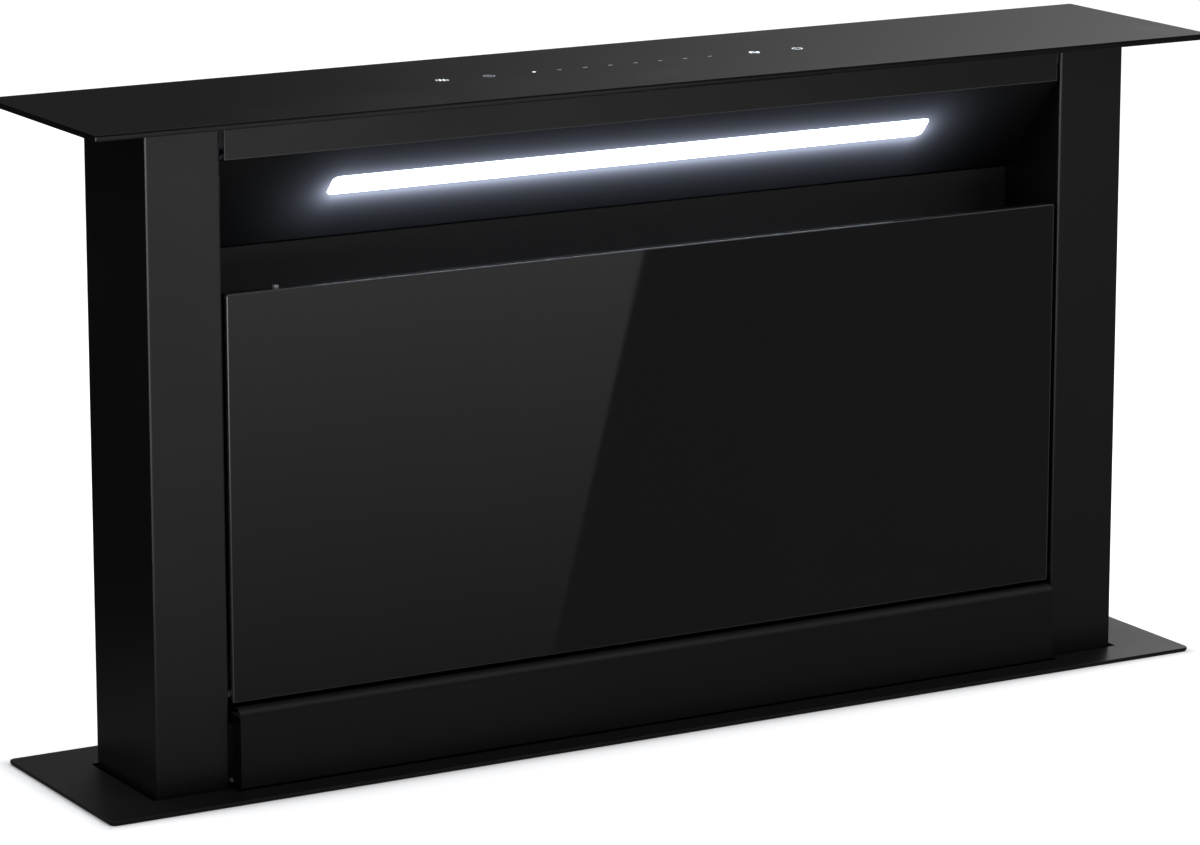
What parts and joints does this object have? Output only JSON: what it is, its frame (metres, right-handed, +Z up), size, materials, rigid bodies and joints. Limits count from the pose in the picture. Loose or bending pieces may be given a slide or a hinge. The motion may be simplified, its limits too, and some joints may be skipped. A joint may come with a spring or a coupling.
{
  "type": "pop-up range hood",
  "caption": "Range hood that rises out of a worktop: flat black glass cover on two square columns, lit air slot, tilting glass door, kick panel and trim flange, with lift and blower below",
  "frame": {"origin": "middle of the worktop cut-out, on the worktop's upper surface under the flange's seal", "axes": "+X to the user's right, +Y to the back, away from the user, +Z up"},
  "size_m": [0.88, 0.3716, 1.0581],
  "materials": {
    "black": "satin black powder coat",
    "glass": "polished black glass",
    "steel": "bright steel",
    "zinc": "zinc-coated sheet",
    "alloy": "plain aluminium",
    "dark": "dark moulded plastic",
    "rubber": "black rubber and foam",
    "board": "green circuit board",
    "shoe": "white sliding plastic",
    "lamp": "frosted lit lens",
    "marks": "lit printed marks"
  },
  "bodies": {
    "cassette": {"flange": "black", "flange_seal": "rubber", "cassette_front": "zinc", "cassette_rear": "zinc", "cassette_side_left": "zinc", "cassette_side_right": "zinc", "cassette_base": "zinc", "guide_rail_left": "steel", "guide_rail_right": "steel", "worktop_clamps": "steel", "cabinet_brackets": "steel", "cassette_screws": "steel", "shaft_bearings": "dark", "idler_brackets": "steel", "belt_left": "rubber", "belt_right": "rubber", "lift_motor": "dark", "power_box": "dark", "mains_inlet": "dark", "blower_case": "zinc", "blower_cover": "zinc", "scroll": "zinc", "inlet_ring": "dark", "fan_motor": "dark", "duct_collar": "dark", "flap_pin": "steel"},
    "tower": {"top_glass": "glass", "top_tray": "black", "touch_board": "board", "control_marks": "marks", "left_column": "black", "right_column": "black", "header_panel": "black", "lamp_panel": "black", "lamp_lens": "lamp", "led_board": "alloy", "back_wall": "black", "rear_cover": "black", "rear_screws": "steel", "kick_panel": "black", "lower_beam": "black", "drip_tray": "steel", "filter_rail": "steel", "filter_frames": "alloy", "filter_mesh": "steel", "glide_shoes": "shoe", "belt_clamps": "steel", "foot_screws": "alloy"},
    "door": {"door_glass": "glass", "door_carrier": "black", "hinge_pins": "steel", "latch_stud": "alloy"},
    "drive_shaft": {"cross_shaft": "steel", "drive_pulleys": "alloy"},
    "left_idler": {"idler_left": "alloy"},
    "right_idler": {"idler_right": "alloy"},
    "fan_wheel": {"impeller": "dark", "fan_shaft": "steel"},
    "front_flap": {"flap_front": "dark"},
    "rear_flap": {"flap_rear": "dark"}
  },
  "joints": [
    {"name": "tower_lift", "type": "slide", "parent": "cassette", "child": "tower", "axis": [0, 0, 1], "range_m": [-0.454, 0]},
    {"name": "door_tilt", "type": "hinge", "parent": "tower", "child": "door", "pos_m": [0, -0.0432, 0.0662], "axis": [1, 0, 0], "range_deg": [0, 60]},
    {"name": "shaft_spin", "type": "hinge", "parent": "cassette", "child": "drive_shaft", "pos_m": [0, 0.0595, -0.565], "axis": [1, 0, 0], "range_deg": [-1, 2895]},
    {"name": "left_idler_spin", "type": "hinge", "parent": "cassette", "child": "left_idler", "pos_m": [-0.25, 0.0595, -0.034], "axis": [1, 0, 0], "range_deg": [-1, 2895]},
    {"name": "right_idler_spin", "type": "hinge", "parent": "cassette", "child": "right_idler", "pos_m": [0.25, 0.0595, -0.034], "axis": [1, 0, 0], "range_deg": [-1, 2895]},
    {"name": "fan_spin", "type": "hinge", "parent": "cassette", "child": "fan_wheel", "pos_m": [0, -0.1, -0.448], "axis": [0, 1, 0], "continuous": true},
    {"name": "front_flap_swing", "type": "hinge", "parent": "cassette", "child": "front_flap", "pos_m": [0.192, -0.1612, -0.448], "axis": [0, 0, 1], "range_deg": [0, 70], "stiffness_Nm_per_rad": 0.02},
    {"name": "rear_flap_swing", "type": "hinge", "parent": "cassette", "child": "rear_flap", "pos_m": [0.192, -0.1612, -0.448], "axis": [0, 0, -1], "range_deg": [0, 70], "stiffness_Nm_per_rad": 0.02}
  ],
  "couplings": [
    {"joint": "shaft_spin", "follows": "tower_lift", "rad_per_m": -111.11},
    {"joint": "left_idler_spin", "follows": "tower_lift", "rad_per_m": -111.11},
    {"joint": "right_idler_spin", "follows": "tower_lift", "rad_per_m": -111.11}
  ]
}
